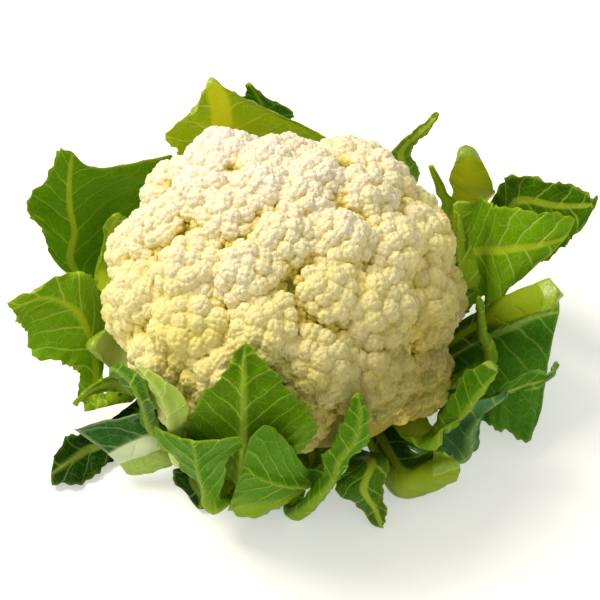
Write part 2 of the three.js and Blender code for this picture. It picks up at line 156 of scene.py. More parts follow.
# Leaves. Wrapper leaves grow from the stalk in three whorls, pass under the curd and
# rise round it. Each is one blade on a thick rib, waxy, torn or trimmed at its end.
# Spots of the photograph, each with a height, give the shape of every blade.
WHORL_HEIGHTS = [28.6, 18.9, 9.2]  # of a rib's upper face on the stalk
UNDER_HEIGHTS = [31.5, 21.5, 11.5]  # and under the curd
UNDER_REACH = 60.0  # from the stalk's middle to where a foot's width is read
STALK_GAP = 0.8
STALK_FOOT = 5.2  # half a foot's width on the stalk
EDGE_LIFT = 1.5
RIB_DEPTH = 7.0
RIB_HALF_WIDTH = 11.0
BLADE_THICK = 0.95
CUT_END = 5  # a rib at least this deep at its end was cut there
RIB_CREST = 0.3  # how far the rib stands out of the inner face
RUFFLE_LENGTH = 22.0
RIPPLE_LENGTH = 1.45
RIPPLE_HEIGHT = 0.55
FRAY_WIDTH = 5.0  # how far in from its edge a blade is torn
LOBE_LENGTH = 4.3
LOBE_DEPTH = 1.1
TOOTH_LENGTHS = (1.9, 0.83)
TOOTH_DEPTHS = (0.55, 0.5)
TURN_A_LEAF = 1.7  # shifts the waves of each leaf's edge against the last one's
RIM_PALENESS = 0.4
VEIN_SPACING = 12.0
VEIN_SLANT = 0.85  # how far a side vein climbs for each millimetre that it goes out
VEIN_WANDER = 9.0
VEIN_RISE = 0.45  # behind the blade
SWELL_RISE = 0.75  # of the blade between its veins
CELL = 1.35  # side of a mesh cell on a blade
CELLS_ALONG = (24, 110)  # fewest and most on a blade
CELLS_ASIDE = (5, 32)  # fewest and most on either side of the rib
LEAF_APART = 40.0  # sets each leaf's net of veins apart from the next one's
NET_WARP = 260.0  # scale of the noise that bends the net, about 4 mm
# The nets of veins: the size of their cells, half the width of their lines as a share
# of a cell, and how much they show.
NETS = ((5.5, 0.045, 0.45), (2.1, 0.07, 0.18))

# The photograph's camera.
VIEW_TILT = math.radians(50)
VIEW_DISTANCE = 1100.0
VIEW_WIDTH = 293.0
VIEW_PIXELS = 600
VIEW_TARGET = np.array([7.0, 4.0, 62.0])
VIEW_BACK = np.array([0.0, -math.cos(VIEW_TILT), math.sin(VIEW_TILT)])
VIEW_UP = np.array([0.0, math.sin(VIEW_TILT), math.cos(VIEW_TILT)])


def seen(across, down, height):
    """Where a spot of the photograph lies, given its height over the table."""
    eye = VIEW_TARGET + VIEW_BACK * VIEW_DISTANCE
    step = VIEW_WIDTH / VIEW_DISTANCE / VIEW_PIXELS
    ray = -VIEW_BACK + np.array([(across - VIEW_PIXELS / 2) * step, 0, 0])
    ray = ray + VIEW_UP * (VIEW_PIXELS / 2 - down) * step
    return eye + ray * (height - eye[2]) / ray[2]


# Each leaf: its whorl, the bearing of its foot in degrees, half the foot's width under
# the curd, the depth of the rib at the leaf's end, the ruffle of its edges, its finish
# and its slot. Pale says where it starts and stops turning green, how far that leans
# across the blade and climbs along it, and half the width of the pale rib at the tip.
# Sliced says which part a knife sliced flat: from and to across, and from how far along.
# Its rows of spots run from foot to tip, each [across, down] in pixels and a height.
LEAVES = {
    "front_upright": dict(
        whorl=0, bearing=-103, foot=10, end=0.8, ruffle=1,
        finish="fresh_leaf", slot="leaf_light",
        pale=(0.25, 0.5, 0, 1, 0.8),
        rows=[
            [[275, 476, 39.5], [244, 480, 31], [212, 474, 36]],
            [[316, 430, 92], [245, 447, 72], [187, 428, 74]],
            [[297, 397, 107], [245, 402, 103], [203, 396, 101]],
            [[272, 371, 119], [245, 364, 118], [226, 369, 116]],
            [[249, 345, 126], [245, 343, 126], [242, 345, 126]],
        ],
    ),
    "front_cup": dict(
        whorl=1, bearing=-104, foot=6, end=1, ruffle=0.8,
        finish="bright_leaf", slot="leaf_light",
        pale=(0.4, 0.6, 0, 1, 0.5),
        rows=[
            [[223, 499, 24], [216, 503, 19], [209, 497, 18]],
            [[224, 480, 50], [208, 486, 38], [194, 480, 28]],
            [[228, 460, 75], [200, 466, 58], [175, 462, 45]],
            [[241, 446, 90], [198, 451, 73], [160, 442, 60]],
            [[240, 437, 97], [194, 441, 81], [152, 428, 67]],
        ],
    ),
    "front_fold": dict(
        whorl=1, bearing=-72, foot=8, end=1, ruffle=0.6,
        finish="bright_leaf", slot="leaf_light",
        pale=(-0.75, -0.45, -1.2, 0, 0.6),
        rows=[
            [[311, 469, 36], [310, 477, 26], [305, 486, 17]],
            [[299, 458, 66], [293, 482, 38], [286, 504, 16]],
            [[284, 438, 93], [270, 478, 54], [262, 516, 12]],
            [[265, 427, 99], [252, 470, 62], [240, 518, 11]],
            [[250, 438, 91], [240, 474, 56], [228, 510, 12]],
        ],
    ),
    "front_right": dict(
        whorl=2, bearing=-87, foot=9, end=0.8, ruffle=0.8,
        finish="bright_leaf", slot="leaf_light",
        pale=(0.2, 0.45, 0, 1, 0.8),
        rows=[
            [[302, 511, 3], [296, 510, 4], [289, 506, 5]],
            [[333, 488, 30], [327, 482, 38], [321, 476, 43]],
            [[347, 466, 48], [338, 457, 57], [324, 455, 60]],
            [[366, 444, 66], [354, 438, 73], [338, 434, 77]],
            [[370, 420, 86], [360, 414, 90], [346, 412, 92]],
            [[362, 397, 100], [358, 393, 102], [353, 396, 101]],
        ],
    ),
    "right_pointed": dict(
        whorl=2, bearing=-61, foot=7, end=0.8, ruffle=0.8,
        finish="dark_leaf", slot="leaf",
        pale=(0.2, 0.4, 0, 1, 0.8),
        rows=[
            [[386, 458, 34], [371, 461, 36], [348, 468, 30]],
            [[384, 486, 24], [364, 488, 28], [336, 488, 20]],
            [[384, 510, 10], [375, 509, 14], [358, 506, 10]],
            [[385, 527, 3], [382, 528, 3.5], [378, 526, 3]],
        ],
    ),
    "right_scoop": dict(
        whorl=1, bearing=-45, foot=9, end=6, ruffle=0,
        finish="petiole", slot="leaf_rib",
        # Its foot and one side of its hollow turn nearly black green: painted shade.
        pale=(-1.75, -1.5, -1.6, -3, 1), sliced=(-1, 0.35, 0.8),
        rows=[
            [[412, 450, 34], [407, 460, 25], [402, 470, 27], [396, 482, 21], [392, 492, 8]],
            [[430, 450, 31], [428, 459, 25], [425, 469, 28], [423, 482, 22], [421, 495, 7]],
            [[444, 451, 35], [450, 457, 30], [458, 461, 30], [460, 470, 25], [456, 480, 14]],
        ],
    ),
    "right_curled": dict(
        whorl=0, bearing=-35, foot=9, end=6, ruffle=0.8,
        finish="bright_leaf", slot="leaf_light",
        pale=(0.3, 0.9, 0, 1, 1.5),
        rows=[
            [[440, 432, 42], [427, 436, 41], [414, 439, 40]],
            [[462, 416, 42], [452, 412, 46], [445, 408, 52]],
            [[486, 388, 54], [472, 386, 62], [460, 378, 70]],
            [[499, 368, 72], [491, 361, 80], [482, 364, 84]],
        ],
    ),
    "right_long": dict(
        whorl=2, bearing=-35, foot=8, end=0.8, ruffle=0.8,
        finish="blue_leaf", slot="leaf",
        pale=(0.2, 0.4, 0, 1, 0.8),
        rows=[
            [[470, 452, 12], [460, 454, 10], [432, 450, 13]],
            [[482, 420, 32], [474, 425, 28], [438, 425, 22]],
            [[500, 388, 50], [489, 402, 42], [474, 404, 46]],
            [[528, 372, 62], [520, 387, 52], [512, 391, 48]],
            [[549, 371, 68], [546, 379, 62], [540, 387, 58]],
            [[558, 363, 73], [557, 364, 72], [556, 366, 71]],
        ],
    ),
    "right_spike": dict(
        whorl=1, bearing=-19, foot=6, end=0.8, ruffle=0.4,
        finish="bright_leaf", slot="leaf_light",
        pale=(0.3, 0.8, 0, 1, 0.8),
        rows=[
            [[492, 366, 46], [485, 368, 44], [478, 360, 44]],
            [[488, 330, 66], [483, 330, 66], [477, 330, 64]],
            [[482, 300, 86], [479, 296, 88], [476, 298, 86]],
        ],
    ),
    "right_petiole": dict(
        whorl=0, bearing=-13, foot=7, end=6, ruffle=0,
        finish="petiole", slot="leaf_light",
        pale=(-0.6, -0.4, 0, -1, 1), sliced=(-1, 1, 0.93),
        rows=[
            [[470, 316, 50], [473, 328, 49], [476, 342, 46]],
            [[503, 297, 66], [507, 309, 66], [511, 322, 62]],
            [[550, 278, 80], [558, 291, 81], [553, 309, 75]],
        ],
    ),
    "right_broad": dict(
        whorl=2, bearing=-9, foot=11, end=1, ruffle=1.2,
        finish="blue_leaf", slot="leaf",
        pale=(0.15, 0.3, 0, 1, 0.8),
        rows=[
            [[472, 318, 36], [471, 330, 36], [471, 345, 35], [472, 375, 30], [476, 418, 16]],
            [[500, 306, 48], [501, 318, 47], [502, 332, 45], [500, 378, 33], [500, 430, 12]],
            [[530, 290, 57], [533, 302, 56], [534, 318, 53], [528, 378, 36], [526, 440, 8]],
            [[552, 284, 60], [557, 295, 60], [559, 312, 57], [550, 352, 44], [541, 415, 18]],
        ],
    ),
    "right_folded": dict(
        whorl=1, bearing=8, foot=9, end=0.8, ruffle=1.2,
        finish="light_leaf", slot="leaf_light",
        pale=(0.1, 0.3, 0, 1, 0.8),
        rows=[
            [[470, 208, 62], [465, 260, 42], [480, 300, 34]],
            [[500, 208, 84], [505, 250, 68], [490, 308, 46]],
            [[545, 211, 88], [540, 245, 76], [515, 285, 57]],
            [[576, 220, 84], [566, 238, 78], [545, 260, 70]],
        ],
    ),
    "right_rear": dict(
        whorl=2, bearing=18, foot=9, end=0.8, ruffle=1.5,
        finish="dark_leaf", slot="leaf",
        pale=(0.2, 0.4, 0, 1, 0.8),
        rows=[
            [[493, 198, 57], [500, 222, 50], [506, 262, 38]],
            [[509, 177, 84], [520, 200, 74], [532, 262, 50]],
            [[556, 181, 92], [556, 205, 82], [562, 250, 64]],
            [[585, 193, 94], [588, 205, 88], [580, 228, 78]],
            [[594, 196, 96], [597, 198, 94], [595, 206, 90]],
        ],
    ),
    "right_upper_stub": dict(
        whorl=1, bearing=40, foot=10, end=6, ruffle=0,
        finish="yellow_rib", slot="leaf_rib",
        pale=(0.6, 1.6, 0, 1, 2),
        rows=[
            [[446, 205, 60], [464, 212, 54], [484, 205, 50]],
            [[449, 178, 80], [468, 182, 75], [493, 187, 71]],
            [[456, 160, 92], [468, 154, 94], [483, 162, 89]],
        ],
    ),
    "right_inner_stub": dict(
        whorl=0, bearing=10, foot=8, end=5, ruffle=0,
        finish="light_leaf", slot="leaf_rib",
        pale=(0.5, 1.1, 0, 1, 4),
        rows=[
            [[475, 290, 50], [464, 300, 45], [456, 310, 42]],
            [[470, 240, 66], [460, 252, 58], [455, 275, 52]],
            [[472, 202, 82], [461, 200, 80], [453, 204, 78]],
        ],
    ),
    "right_strip": dict(
        whorl=0, bearing=36, foot=5, end=0.8, ruffle=0,
        finish="light_leaf", slot="leaf_rib",
        pale=(0.5, 1.1, 0, 1, 0.8),
        rows=[
            [[437, 215, 62], [443, 216, 60], [450, 212, 58]],
            [[436, 190, 75], [441, 190, 73], [447, 192, 72]],
            [[430, 167, 87], [431, 166, 87], [434, 168, 86]],
        ],
    ),
    "rear_thin": dict(
        whorl=1, bearing=66, foot=7, end=0.8, ruffle=0.4,
        finish="fresh_leaf", slot="leaf_light",
        pale=(0.3, 0.7, 0, 1, 0.8),
        rows=[
            [[388, 190, 54], [400, 190, 54], [415, 185, 54]],
            [[391, 153, 82], [401, 152, 82], [411, 151, 82]],
            [[415, 130, 102], [420, 132, 102], [424, 137, 101]],
            [[436, 115, 116], [437, 114, 116], [438, 115, 116]],
        ],
    ),
    "rear_dark": dict(
        whorl=1, bearing=95, foot=8, end=0.8, ruffle=1.2,
        finish="dark_leaf", slot="leaf",
        pale=(0.2, 0.4, 0, 1, 0.8),
        rows=[
            [[225, 172, 46], [245, 172, 44], [275, 170, 44]],
            [[235, 120, 80], [258, 120, 78], [290, 124, 72]],
            [[240, 100, 96], [262, 104, 92], [292, 114, 82]],
            [[246, 86, 106], [250, 85, 106], [262, 95, 100]],
        ],
    ),
    "rear_cut": dict(
        whorl=0, bearing=112, foot=11, end=5, ruffle=0.8,
        finish="yellow_rib", slot="leaf",
        pale=(0.5, 0.85, 0, 1, 5),
        rows=[
            [[185, 185, 55], [203, 178, 56], [225, 172, 56], [250, 172, 53], [285, 172, 50]],
            [[176, 150, 84], [196, 140, 88], [222, 130, 92], [248, 130, 88], [300, 142, 74]],
            [[167, 134, 98], [194, 118, 104], [220, 107, 106], [245, 105, 104], [330, 138, 76]],
            [[196, 110, 112], [203, 93, 116], [213, 82, 120], [227, 89, 115], [246, 103, 106]],
        ],
    ),
    "left_tall": dict(
        whorl=1, bearing=161, foot=11, end=1, ruffle=1.5,
        finish="bright_leaf", slot="leaf",
        pale=(0.15, 0.35, 0, 1, 0.8),
        rows=[
            [[64, 270, 42], [70, 272, 40], [78, 274, 38], [95, 272, 34], [110, 265, 34]],
            [[40, 228, 66], [58, 232, 60], [74, 230, 58], [102, 232, 48], [134, 235, 42]],
            [[27, 204, 84], [50, 200, 78], [69, 205, 74], [102, 205, 62], [150, 208, 50]],
            [[52, 168, 100], [60, 172, 96], [69, 176, 92], [106, 182, 78], [176, 184, 60]],
            [[60, 146, 110], [64, 150, 108], [72, 152, 104], [98, 168, 90], [172, 155, 80]],
        ],
    ),
    "left_curl": dict(
        whorl=0, bearing=175, foot=6, end=0.8, ruffle=0.4,
        finish="light_leaf", slot="leaf_rib",
        pale=(0.4, 1.1, 0, 1, 0.8),
        rows=[
            [[99, 290, 38], [105, 285, 40], [111, 280, 42]],
            [[101, 258, 52], [107, 250, 54], [115, 245, 54]],
            [[104, 228, 68], [112, 226, 66], [122, 228, 62]],
            [[110, 217, 76], [119, 215, 76], [129, 219, 70]],
        ],
    ),
    "left_pale_stub": dict(
        whorl=0, bearing=-160, foot=7, end=5, ruffle=0,
        finish="pale_leaf", slot="leaf_rib",
        pale=(0.6, 1.6, 0, 1, 1),
        rows=[
            [[116, 372, 32], [119, 360, 34], [124, 346, 36]],
            [[98, 354, 47], [95, 344, 51], [108, 326, 52]],
        ],
    ),
    "left_broad": dict(
        whorl=1, bearing=-174, foot=9, end=0.8, ruffle=1.5,
        finish="light_leaf", slot="leaf",
        pale=(0.2, 0.5, 0, 1, 0.8),
        rows=[
            [[84, 400, 26], [90, 405, 24], [97, 408, 22], [103, 405, 24], [108, 400, 26]],
            [[79, 372, 36], [86, 370, 35], [96, 368, 33], [102, 362, 32], [105, 354, 33]],
            [[60, 364, 42], [74, 345, 46], [88, 334, 48], [98, 315, 50], [101, 300, 54]],
            [[32, 352, 46], [50, 332, 54], [74, 310, 60], [82, 292, 66], [92, 278, 70]],
            [[24, 328, 56], [30, 315, 62], [44, 298, 68], [50, 285, 74], [60, 275, 78]],
            [[16, 318, 64], [14, 313, 66], [12, 309, 68], [9, 307, 70], [8, 305, 72]],
        ],
    ),
    "left_strip": dict(
        whorl=1, bearing=-151, foot=6, end=0.8, ruffle=0.4,
        finish="fresh_leaf", slot="leaf_light",
        pale=(0.5, 0.9, 0, 1, 0.8),
        rows=[
            [[128, 394, 28], [128, 388, 31], [128, 382, 34]],
            [[110, 391, 34], [110, 384, 38], [111, 377, 42]],
            [[88, 397, 40], [90, 391, 42], [92, 386, 44]],
            [[76, 406, 42], [75, 405, 43], [74, 403, 44]],
        ],
    ),
    "left_pale_point": dict(
        whorl=0, bearing=-126, foot=7, end=0.8, ruffle=0.4,
        finish="pale_leaf", slot="leaf_light",
        pale=(0.4, 0.9, 0, 1, 0.8),
        rows=[
            [[190, 455, 42], [181, 457, 39], [174, 453, 38]],
            [[185, 425, 77], [175, 427, 71], [168, 426, 63]],
            [[188, 405, 94], [168, 400, 88], [153, 396, 81]],
            [[166, 382, 101], [155, 382, 96], [147, 380, 90]],
            [[144, 367, 99], [139, 366, 98], [134, 366, 96]],
        ],
    ),
    "left_twisted": dict(
        whorl=1, bearing=-127, foot=7, end=0.8, ruffle=0.6,
        finish="dark_leaf", slot="leaf",
        pale=(0.3, 0.5, 0, 1, 0.8),
        rows=[
            [[165, 428, 35], [156, 428, 34], [148, 428, 33]],
            [[153, 403, 77], [145, 399, 75], [137, 401, 69]],
            [[142, 378, 88], [130, 378, 83], [122, 385, 73]],
            [[118, 362, 80], [112, 368, 76], [110, 375, 72]],
        ],
    ),
    "left_low_cut": dict(
        whorl=2, bearing=-141, foot=10, end=7, ruffle=0.4,
        finish="cut_block", slot="leaf_rib",
        pale=(0.35, 0.5, 3, 0, 1), sliced=(-1, -0.5, 0.45),
        rows=[
            [[172, 464, 8], [164, 450, 20], [154, 437, 25], [148, 426, 28], [144, 412, 36]],
            [[150, 472, 6], [142, 458, 18], [130, 446, 23], [122, 434, 26], [114, 419, 35]],
            [[127, 474, 5], [120, 464, 13], [110, 456, 19], [98, 446, 22], [74, 429, 34]],
        ],
    ),
    "left_low_dark": dict(
        whorl=2, bearing=-166, foot=8, end=0.8, ruffle=1,
        # Its finish is painted shade.
        finish="painted_shade_leaf", slot="leaf",
        pale=(0.2, 0.4, 0, 1, 0.8),
        rows=[
            [[112, 462, 3], [108, 440, 8], [104, 425, 12]],
            [[96, 474, 3], [86, 450, 8], [82, 430, 16]],
            [[75, 484, 3], [68, 462, 8], [66, 440, 16]],
            [[52, 488, 2], [51, 474, 5], [55, 456, 10]],
        ],
    ),
    "front_low_dark": dict(
        whorl=2, bearing=-113, foot=8, end=0.8, ruffle=0.8,
        # Its finish is painted shade.
        finish="painted_shade_leaf", slot="leaf",
        pale=(0.2, 0.4, 0, 1, 0.8),
        rows=[
            [[214, 486, 8], [194, 478, 12], [176, 470, 16]],
            [[214, 498, 4], [203, 500, 6], [182, 488, 8]],
            [[207, 507, 2.5], [200, 509, 2.5], [194, 505, 3]],
        ],
    ),
}


def blade(name, upper, back, pale, vein, roughness):
    """Waxy cabbage-family leaf: green between paler veins, greyer and duller behind.

    The attribute leaf holds the place on the blade in millimetres, across and along.
    The attribute finish holds how green it is, how much of it is rib, and its face: 0
    inside and 1 behind.
    """
    material, tree, surface = new_material(name)
    place = node(tree, "Attribute", {}, attribute_name="leaf").outputs["Vector"]
    across, up, _ = node(tree, "SeparateXYZ", {0: place}).outputs
    finish = node(tree, "Attribute", {}, attribute_name="finish").outputs["Vector"]
    green, rib, behind = node(tree, "SeparateXYZ", {0: finish}).outputs
    where = node(tree, "TexCoord", {}).outputs["Object"]
    patch_size = 17.0
    vein_half, vein_core = 0.95, 0.3  # where a side vein ends, and where it is palest
    vein_thinning = 0.012  # for each millimetre from the rib
    vein_paleness = 0.75
    rib_paleness = 0.85
    patches = clouds(tree, where, patch_size, 5.0)
    # Side veins leave the midrib in turn on either side and bend towards the tip.
    aside = math_node(tree, "ABSOLUTE", across)
    turn = times(tree, math_node(tree, "SIGN", across), VEIN_SPACING / 4)
    along = plus(tree, minus(tree, up, times(tree, aside, VEIN_SLANT)), turn)
    along = plus(tree, along, times(tree, minus(tree, patches, 0.5), VEIN_WANDER))
    step = math_node(tree, "FRACT", math_node(tree, "DIVIDE", along, VEIN_SPACING))
    away = times(tree, math_node(tree, "ABSOLUTE", minus(tree, step, 0.5)), VEIN_SPACING)
    away = plus(tree, away, times(tree, aside, vein_thinning))
    # The net between them, drawn at its real 5 and 2 millimetres.
    bend = node(tree, "TexNoise", {"Vector": where, "Scale": NET_WARP}).outputs[1]
    bent = node(tree, "VectorMath", {0: place, 1: bend}).outputs[0]
    veins = times(tree, ramp(tree, away, vein_half, vein_core), 0.9)
    for cell, line, strength in NETS:
        inputs = {"Vector": bent, "Scale": 1 / cell}
        cells = node(tree, "TexVoronoi", inputs, feature="DISTANCE_TO_EDGE")
        net = times(tree, ramp(tree, cells.outputs["Distance"], line, 0.0), strength)
        veins = math_node(tree, "MAXIMUM", veins, net)
    tint = mix_colour(tree, patches, linear(upper[0]), linear(upper[1]))
    tint = mix_colour(tree, behind, tint, linear(back))
    tint = mix_colour(tree, times(tree, veins, vein_paleness), tint, linear(vein))
    # The rib and the blade near it are pale, behind the blade only half as much.
    ribbed = times(tree, rib, rib_paleness)
    paleness = math_node(tree, "MAXIMUM", minus(tree, 1.0, green), ribbed)
    paleness = times(tree, paleness, minus(tree, 1.0, times(tree, behind, 0.5)))
    tint = mix_colour(tree, paleness, tint, linear(pale))
    tree.links.new(tint, surface.inputs["Base Color"])
    add_bump(tree, surface, minus(tree, times(tree, patches, 0.8), veins), 0.5, 0.0005)
    uneven = ramp(tree, patches, 0.0, 1.0, roughness - 0.08, roughness + 0.12)
    tree.links.new(uneven, surface.inputs["Roughness"])
    set_inputs(surface, {
        "Specular IOR Level": 0.05,
        "Subsurface Weight": 0.1,
        "Subsurface Radius": (0.002, 0.003, 0.0005),
    })
    return material


# Each finish: two greens of the inner face, the back, the pale part, the veins, and
# how rough its wax is.
LEAF_FINISHES = {
    # Nearly black green, painted shade for old leaves that lie in shade by the table.
    "painted_shade_leaf": (("#0c2602", "#224804"), "#22441a", "#8fa63a", "#5f8428", 0.45),
    # The full green of an old outer leaf.
    "dark_leaf": (("#2f5802", "#4c7a04"), "#3f7018", "#a8bc30", "#9cb83a", 0.45),
    # The same under a bluish bloom of wax.
    "blue_leaf": (("#326c08", "#528c16"), "#4f8050", "#a4bc50", "#94b84c", 0.42),
    # The even green of a young leaf against the curd.
    "fresh_leaf": (("#426f00", "#649400"), "#568200", "#b4c840", "#a8c038", 0.46),
    # Clear yellowish green with fine pale veins.
    "bright_leaf": (("#487c02", "#629a04"), "#4a8203", "#a9bd2c", "#a4bc2c", 0.46),
    # Light green that lets the sun through.
    "light_leaf": (("#5a9002", "#7cac06"), "#76a00c", "#b4c82a", "#c0d458", 0.46),
    # A leaf bleached by the ones over it.
    "pale_leaf": (("#94b434", "#b4cc50"), "#9cba3c", "#d2e084", "#c8da84", 0.44),
    # A thick rib, yellow with green at its edges.
    "yellow_rib": (("#86ac04", "#a4c406"), "#88a83a", "#dce024", "#d8e060", 0.42),
    # A green stump, glossier than a blade. Its nearly black inner green is painted shade.
    "petiole": (("#1c4206", "#34600c"), "#829e2c", "#8ea41a", "#8fa838", 0.4),
    # A dull blue-green blade on a nearly white rib.
    "cut_block": (("#28581e", "#3c7228"), "#44741c", "#d8e4b4", "#8cb070", 0.42),
}
finishes = {name: blade(name, *looks) for name, looks in LEAF_FINISHES.items()}
cut_rib = cut_tissue("cut_rib", "#b6cc3c", "#88a81a")


def spline(points, where):
    """Smooth curve through evenly numbered points, straight beyond its ends."""
    points = np.asarray(points, float)
    ends = [2 * points[:1] - points[1:2], points, 2 * points[-1:] - points[-2:-1]]
    padded = np.concatenate(ends)
    first = np.clip(np.floor(where).astype(int), 0, len(points) - 2)
    u = (where - first).reshape((-1,) + (1,) * (points.ndim - 1))
    return 0.5 * (
        ((2 - u) * u - 1) * u * padded[first]
        + ((3 * u - 5) * u * u + 2) * padded[first + 1]
        + ((4 - 3 * u) * u + 1) * u * padded[first + 2]
        + (u - 1) * u * u * padded[first + 3]
    )


def foot_rows(whorl, bearing, foot, columns):
    """The rows of a leaf's foot, on the stalk and under the curd."""
    turn = math.radians(bearing)
    out = np.array([math.cos(turn), math.sin(turn), 0])
    side = np.array([out[1], -out[0], 0])
    on_stalk = []
    under_curd = []
    for across in [2 * k / (columns - 1) - 1 for k in range(columns)]:
        reach = math.sqrt((STALK_RADIUS + STALK_GAP) ** 2 - (across * STALK_FOOT) ** 2)
        foot_height = np.array([0, 0, WHORL_HEIGHTS[whorl]])
        on_stalk.append(side * across * STALK_FOOT + out * reach + foot_height)
        height = UNDER_HEIGHTS[whorl] + EDGE_LIFT * across**2
        under_curd.append(side * across * foot + out * UNDER_REACH + np.array([0, 0, height]))
    return [on_stalk, under_curd]


def running(lines):
    """Length run along each line of points, from its first point."""
    steps = np.linalg.norm(np.diff(lines, axis=0), axis=-1)
    return np.concatenate([np.zeros((1,) + steps.shape[1:]), np.cumsum(steps, axis=0)])


def smooth_step(low, high, value):
    """From 0 at low to 1 at high, level at both ends."""
    part = np.clip((value - low) / (high - low), 0, 1)
    return part * part * (3 - 2 * part)


def unit(vectors):
    """The same directions, each of length 1."""
    return vectors / np.maximum(np.linalg.norm(vectors, axis=-1, keepdims=True), 1e-9)


def leaf_grid(leaf):
    """The blade's middle surface as a grid of points, with the places of its rows.

    Those run from 0 at the foot to 1 at the tip, and its columns from -1 to 1.
    """
    rows = leaf["rows"]
    spots = len(rows[0])
    net = foot_rows(leaf["whorl"], leaf["bearing"], leaf["foot"], spots)
    net = np.array(net + [[seen(*spot) for spot in row] for row in rows])
    rough_middle = spline(net[:, spots // 2], np.linspace(0, len(net) - 1, 60))
    length = running(rough_middle)[-1]
    width = max(running(row)[-1] for row in net)
    steps = int(np.clip(length / CELL, *CELLS_ALONG))
    columns = 2 * int(np.clip(width / CELL / 2, *CELLS_ASIDE)) + 1
    s = np.linspace(0, 1, steps + 1)
    t = np.linspace(-1, 1, columns)
    by_column = spline(net.transpose(1, 0, 2), (t + 1) / 2 * (spots - 1))
    return spline(by_column.transpose(1, 0, 2), s * (len(net) - 1)), s, t


def leaf_faces(index, leaf):
    """The leaf's two faces as grids of points, with its place and finish at each."""
    end = leaf["end"]
    ruffle = leaf["ruffle"]
    base, s, t = leaf_grid(leaf)
    middle = len(t) // 2
    aside = running(base.transpose(1, 0, 2)).T
    aside = aside - aside[:, middle : middle + 1]
    along = running(base[:, middle])[:, None]
    half = (aside[:, -1] - aside[:, 0])[:, None] / 2
    across_way = unit(np.gradient(base, axis=1))
    facing = unit(np.cross(across_way, np.gradient(base, axis=0)))
    up = s[:, None]
    out = np.abs(t)[None, :]
    side = np.sign(t)[None, :]
    free = np.minimum(1, 2 * up) ** 2
    phase = TURN_A_LEAF * index
    # The torn, toothed edge, drawn in and out along the blade.
    teeth = TOOTH_DEPTHS[0] * np.sin(along / TOOTH_LENGTHS[0] + phase)
    teeth = teeth + TOOTH_DEPTHS[1] * np.sin(along / TOOTH_LENGTHS[1] + 2 * phase + side)
    edge = np.clip((out * half - half + FRAY_WIDTH) / FRAY_WIDTH, 0, 1) ** 2
    lobes = LOBE_DEPTH * np.sin(along / LOBE_LENGTH + phase + 2.5 * side)
    fray = side * edge * free * min(1, ruffle) * (teeth + lobes)
    base = base + across_way * fray[..., None]
    rise = ruffle * out**3 * free * np.sin(2 * np.pi * along / RUFFLE_LENGTH + 2 * t)
    ripple = np.sin(along / RIPPLE_LENGTH + phase + 3 * t)
    rise = rise + RIPPLE_HEIGHT * ruffle * out**4 * free * ripple
    # Between its side veins the blade swells, and each vein lies in a groove.
    veined = along - VEIN_SLANT * np.abs(aside) + np.sign(aside) * VEIN_SPACING / 4
    from_vein = np.abs(veined / VEIN_SPACING % 1 - 0.5) * 2
    rib_half = RIB_HALF_WIDTH + (1.5 + end - RIB_HALF_WIDTH) * up**0.5
    rib_depth = RIB_DEPTH + (end - RIB_DEPTH) * up**0.7
    off = np.minimum(1, out * half / rib_half)
    swell = SWELL_RISE * np.sqrt(1 - (1 - from_vein) ** 2) * off * smooth_step(0, 5, half)
    inner = base + facing * (rise + swell + RIB_CREST * (1 - off**2))[..., None]
    # Behind, the rib stands out of the thin blade, and each side vein a little.
    thick = BLADE_THICK * (1 - 0.45 * out**6) + rib_depth * (1 - off**2)
    vein = VEIN_RISE * np.exp(-((from_vein * 4.5) ** 2)) * smooth_step(0, 6, half)
    thick = thick + vein * (1 - out**4)
    outer = inner - facing * thick[..., None]
    # The finish: where it is green, and where it is the pale rib or the pale rim.
    start, stop, lean, climb, tip_rib = leaf["pale"]
    green = smooth_step(start, stop, climb * up + 0.25 * out + lean * t[None, :])
    pale_half = tip_rib + 1.9 * (1 - up) ** 0.8
    rib = 1 - smooth_step(0.7, 1.25, np.abs(aside) / pale_half)
    to_side = np.minimum(aside - aside[:, :1], aside[:, -1:] - aside)
    to_edge = np.minimum(to_side, along[-1] - along)
    rim = 1 - smooth_step(0.5, 1.6, to_edge)
    rib = np.maximum(rib, RIM_PALENESS * rim * smooth_step(0.35, 0.6, up))
    apart = np.full_like(aside, LEAF_APART * index)
    place = np.stack([aside, along + 0 * aside, apart], axis=-1)
    return inner, outer, place, green, rib


def grid_quads(rows, columns):
    """The four-sided faces of a grid whose points are numbered row by row."""
    a = (np.arange(rows - 1)[:, None] * columns + np.arange(columns - 1)[None, :]).ravel()
    return np.stack([a, a + 1, a + columns + 1, a + columns], axis=1)


def make_piece(name, places, faces, materials, attributes, marks=None):
    """A smooth mesh piece from places in millimetres, with values at its points."""
    mesh = bpy.data.meshes.new(name)
    mesh.from_pydata((places / 1000).tolist(), [], faces.tolist())
    for label, values in attributes.items():
        kind, field = ("FLOAT_VECTOR", "vector") if values.ndim == 2 else ("FLOAT", "value")
        layer = mesh.attributes.new(label, kind, "POINT")
        layer.data.foreach_set(field, values.astype(np.float32).ravel())
    for material in materials:
        mesh.materials.append(material)
    if marks is not None:
        mesh.polygons.foreach_set("material_index", marks)
    mesh.shade_smooth()
    piece = bpy.data.objects.new(name, mesh)
    bpy.context.collection.objects.link(piece)
    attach(piece, "root")
    return piece


